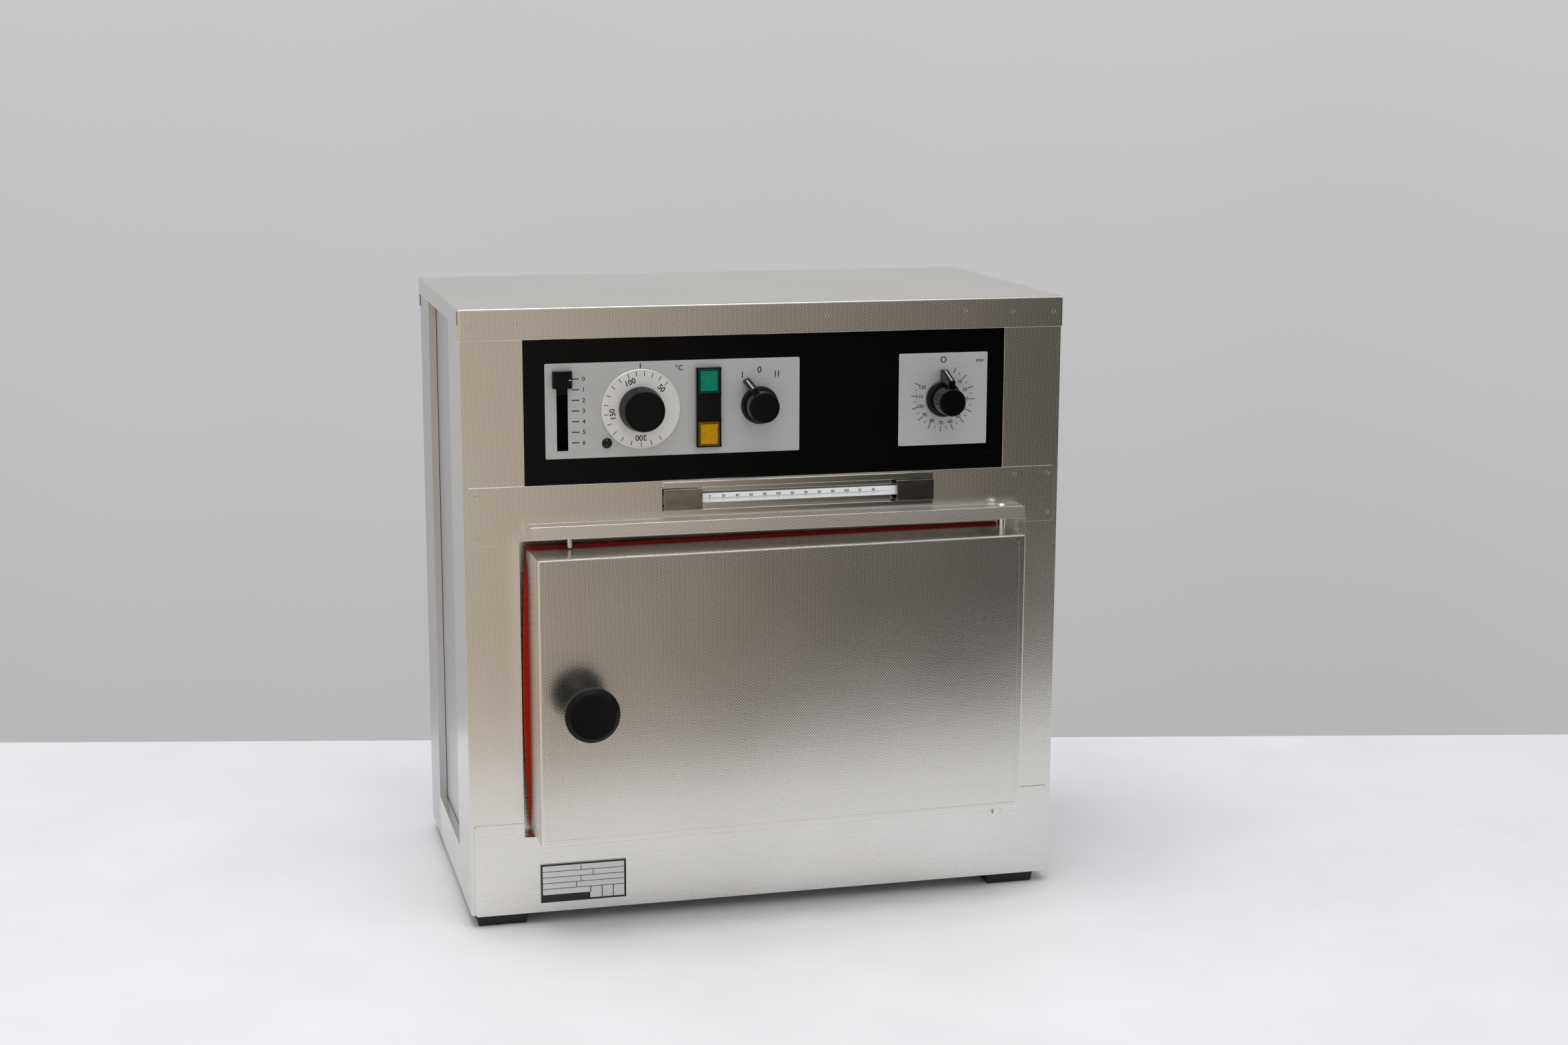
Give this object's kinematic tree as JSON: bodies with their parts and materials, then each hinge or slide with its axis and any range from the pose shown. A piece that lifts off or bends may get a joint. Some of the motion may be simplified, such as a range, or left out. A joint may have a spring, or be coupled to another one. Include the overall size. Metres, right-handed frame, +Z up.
{
  "type": "laboratory oven",
  "caption": "Small stainless-steel bench oven with a side-hinged insulated door standing ajar, a vent slider, dial, rotary switch, timer, lamps and a thermometer over the door.",
  "frame": {"origin": "middle of the whole part's footprint, on the plane the feet stand on", "axes": "+Z up, the door and controls face -Y, +X towards the hinge side"},
  "size_m": [0.4706, 0.3676, 0.476],
  "materials": {
    "embossed_steel": "stainless sheet embossed with small raised dots",
    "brushed_steel": "plain brushed stainless sheet",
    "polished_steel": "polished stainless steel",
    "zinc_steel": "zinc plated steel",
    "panel_black": "gloss black enamel",
    "scale_plate": "satin anodised plate with a black printed scale",
    "dial_silver": "satin aluminium dial with black figures",
    "black_phenolic": "moulded black phenolic",
    "case_grey": "grey moulded case",
    "red_rubber": "red silicone rubber",
    "black_rubber": "black rubber",
    "mineral_wool": "pressed mineral wool",
    "green_lens": "green prismatic lens",
    "yellow_lens": "yellow prismatic lens",
    "thermometer_glass": "clear glass with a white scale strip",
    "heater_sheath": "heat-darkened steel sheath",
    "label_aluminium": "anodised blank label"
  },
  "bodies": {
    "casing": {"top_cover": "embossed_steel", "left_front_post": "embossed_steel", "right_front_post": "embossed_steel", "mid_rail": "embossed_steel", "base_rail": "brushed_steel", "left_rear_post": "brushed_steel", "right_rear_post": "brushed_steel", "left_side_sill": "brushed_steel", "right_side_sill": "brushed_steel", "left_side_panel": "brushed_steel", "right_side_panel": "brushed_steel", "rear_panel": "brushed_steel", "bottom_plate": "zinc_steel", "front_left_foot": "black_rubber", "front_right_foot": "black_rubber", "rear_left_foot": "black_rubber", "rear_right_foot": "black_rubber", "control_panel": "panel_black", "control_plate": "scale_plate", "timer_plate": "scale_plate", "exhaust_pipe": "polished_steel", "thermostat_body": "case_grey", "sensor_probe": "polished_steel", "adjuster_bush": "case_grey", "lamp_housing": "black_phenolic", "green_lens": "green_lens", "yellow_lens": "yellow_lens", "switch_body": "case_grey", "timer_body": "case_grey", "thermometer_holder": "polished_steel", "thermometer_glass": "thermometer_glass", "left_clip": "polished_steel", "right_clip": "polished_steel", "ledge_rail": "embossed_steel", "hinge_screw": "polished_steel", "catch_guide": "zinc_steel", "lower_hinge_bracket": "zinc_steel", "lower_hinge_pin": "zinc_steel", "chamber_liner": "brushed_steel", "wire_shelf": "polished_steel", "chamber_insulation": "mineral_wool", "heating_element": "heater_sheath", "cable_gland": "black_rubber", "data_plate": "label_aluminium"},
    "door": {"door_shell": "embossed_steel", "door_inner_panel": "brushed_steel", "door_insulation": "mineral_wool", "door_gasket": "red_rubber", "door_knob": "black_phenolic", "knob_screw": "zinc_steel"},
    "dial": {"dial_disc": "dial_silver", "dial_knob": "black_phenolic"},
    "switch": {"switch_knob": "black_phenolic"},
    "timer": {"timer_knob": "black_phenolic"},
    "vent_slider": {"vent_knob": "black_phenolic", "vent_slide_bar": "zinc_steel"},
    "flap": {"vent_flap": "zinc_steel"},
    "adjuster": {"adjuster_cap": "black_phenolic"},
    "catch": {"catch_pin": "polished_steel"}
  },
  "joints": [
    {"name": "door_hinge", "type": "hinge", "parent": "casing", "child": "door", "pos_m": [0.184, -0.11125, 0.0755], "axis": [0, 0, 1], "range_deg": [-1.75, 108]},
    {"name": "dial_turn", "type": "hinge", "parent": "casing", "child": "dial", "pos_m": [-0.0994, -0.09925, 0.3983], "axis": [0, 1, 0], "range_deg": [-75, 213]},
    {"name": "switch_turn", "type": "hinge", "parent": "casing", "child": "switch", "pos_m": [-0.0078, -0.09925, 0.3983], "axis": [0, 1, 0], "range_deg": [0, 60]},
    {"name": "timer_turn", "type": "hinge", "parent": "casing", "child": "timer", "pos_m": [0.13855, -0.09925, 0.3983], "axis": [0, 1, 0], "range_deg": [0, 300]},
    {"name": "vent_slide", "type": "slide", "parent": "casing", "child": "vent_slider", "axis": [0, 0, -1], "range_m": [0, 0.048]},
    {"name": "flap_turn", "type": "hinge", "parent": "casing", "child": "flap", "pos_m": [-0.10845, 0.13575, 0.39815], "axis": [1, 0, 0], "range_deg": [0, 90]},
    {"name": "adjuster_turn", "type": "hinge", "parent": "casing", "child": "adjuster", "pos_m": [-0.1252, -0.09925, 0.373], "axis": [0, 1, 0], "range_deg": [-90, 90]},
    {"name": "catch_slide", "type": "slide", "parent": "casing", "child": "catch", "axis": [0, 0, 1], "range_m": [0, 0.0025], "stiffness_N_per_m": 300, "springref_m": -0.002}
  ],
  "couplings": [
    {"joint": "flap_turn", "follows": "vent_slide", "rad_per_m": 32.725}
  ]
}
